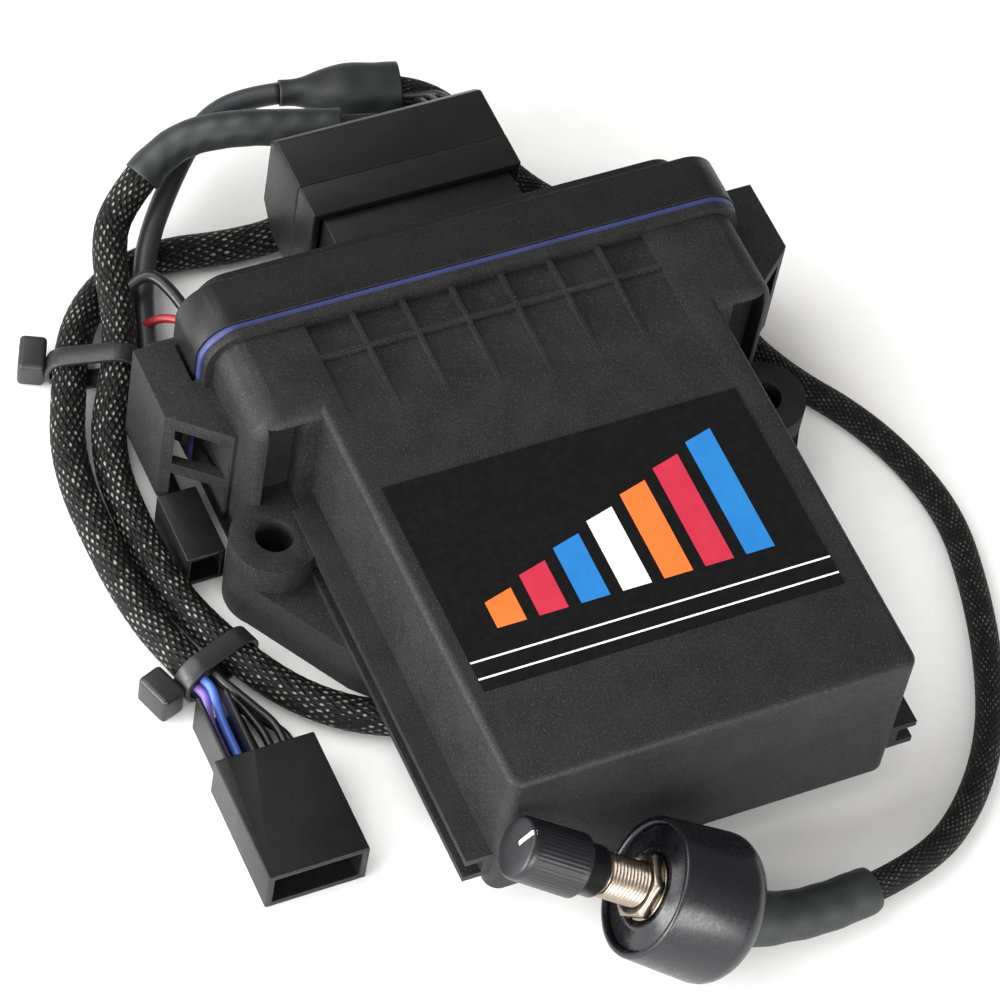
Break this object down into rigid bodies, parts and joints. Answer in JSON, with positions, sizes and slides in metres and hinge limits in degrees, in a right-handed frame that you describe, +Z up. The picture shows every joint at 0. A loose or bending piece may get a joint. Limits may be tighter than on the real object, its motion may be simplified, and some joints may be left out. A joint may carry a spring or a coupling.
{
  "type": "boost control module",
  "caption": "Sealed black control box with two mounting ears, a header and plug with braided looms, and a remote dial in a round pod on its own lead.",
  "frame": {"origin": "midway between the two ear holes, on the mounting plane under the ears", "axes": "+Z up from the mounting plane, +Y toward the header and its plug, +X across the ears"},
  "size_m": [0.1724, 0.2229, 0.0455],
  "materials": {
    "filled_nylon": "fine grained, glass filled",
    "header_nylon": "smoother and a little darker",
    "blue_silicone": "satin",
    "tinned_brass": "bright tin",
    "board_laminate": "satin",
    "component_black": "matt",
    "label_film": "smooth printed film",
    "plug_nylon": "satin",
    "wire_black": "satin",
    "wire_purple": "satin",
    "wire_blue": "satin",
    "heat_shrink": "matt",
    "smooth_sleeve": "satin",
    "braided_sleeve": "coarse braid with pale flecks",
    "fine_braid": "fine herringbone braid",
    "tie_nylon": "satin",
    "satin_black": "satin",
    "knob_black": "fluted, satin",
    "pointer_white": "printed line",
    "nickel_plate": "warm nickel"
  },
  "bodies": {
    "module": {"enclosure_shell": "filled_nylon", "header": "header_nylon", "perimeter_seal": "blue_silicone", "header_pins": "tinned_brass", "circuit_board": "board_laminate", "board_components": "component_black", "front_label": "label_film", "plug_housing": "plug_nylon", "plug_rear_cover": "plug_nylon", "plug_terminals": "tinned_brass", "plug_wires": "wire_black", "loom_jacket_a": "heat_shrink", "loom_jacket_b": "heat_shrink", "smooth_tube": "smooth_sleeve", "braid_one": "braided_sleeve", "braid_outer": "braided_sleeve", "tie_one_band": "tie_nylon", "tie_one_head": "tie_nylon", "tie_two_band": "tie_nylon", "tie_two_head": "tie_nylon", "six_way_housing": "plug_nylon", "six_way_terminals": "tinned_brass", "purple_wire": "wire_purple", "blue_wire": "wire_blue", "black_wires": "wire_black", "three_way_receptacle": "plug_nylon", "three_way_pins": "tinned_brass", "three_way_plug": "plug_nylon", "pod_cup": "satin_black", "pod_face": "satin_black", "pot_body": "nickel_plate", "pot_track": "component_black", "pot_bushing": "nickel_plate", "pot_washer": "nickel_plate", "pot_nut": "nickel_plate", "pod_boot": "heat_shrink", "pod_cord": "fine_braid"},
    "dial": {"knob": "knob_black", "knob_pointer": "pointer_white", "pot_shaft": "nickel_plate", "wiper": "tinned_brass"}
  },
  "joints": [
    {"name": "dial_turn", "type": "hinge", "parent": "module", "child": "dial", "pos_m": [-0.0188, -0.0968, 0.02052], "axis": [-0.8297, 0.302, 0.4695], "range_deg": [-145, 145]}
  ]
}
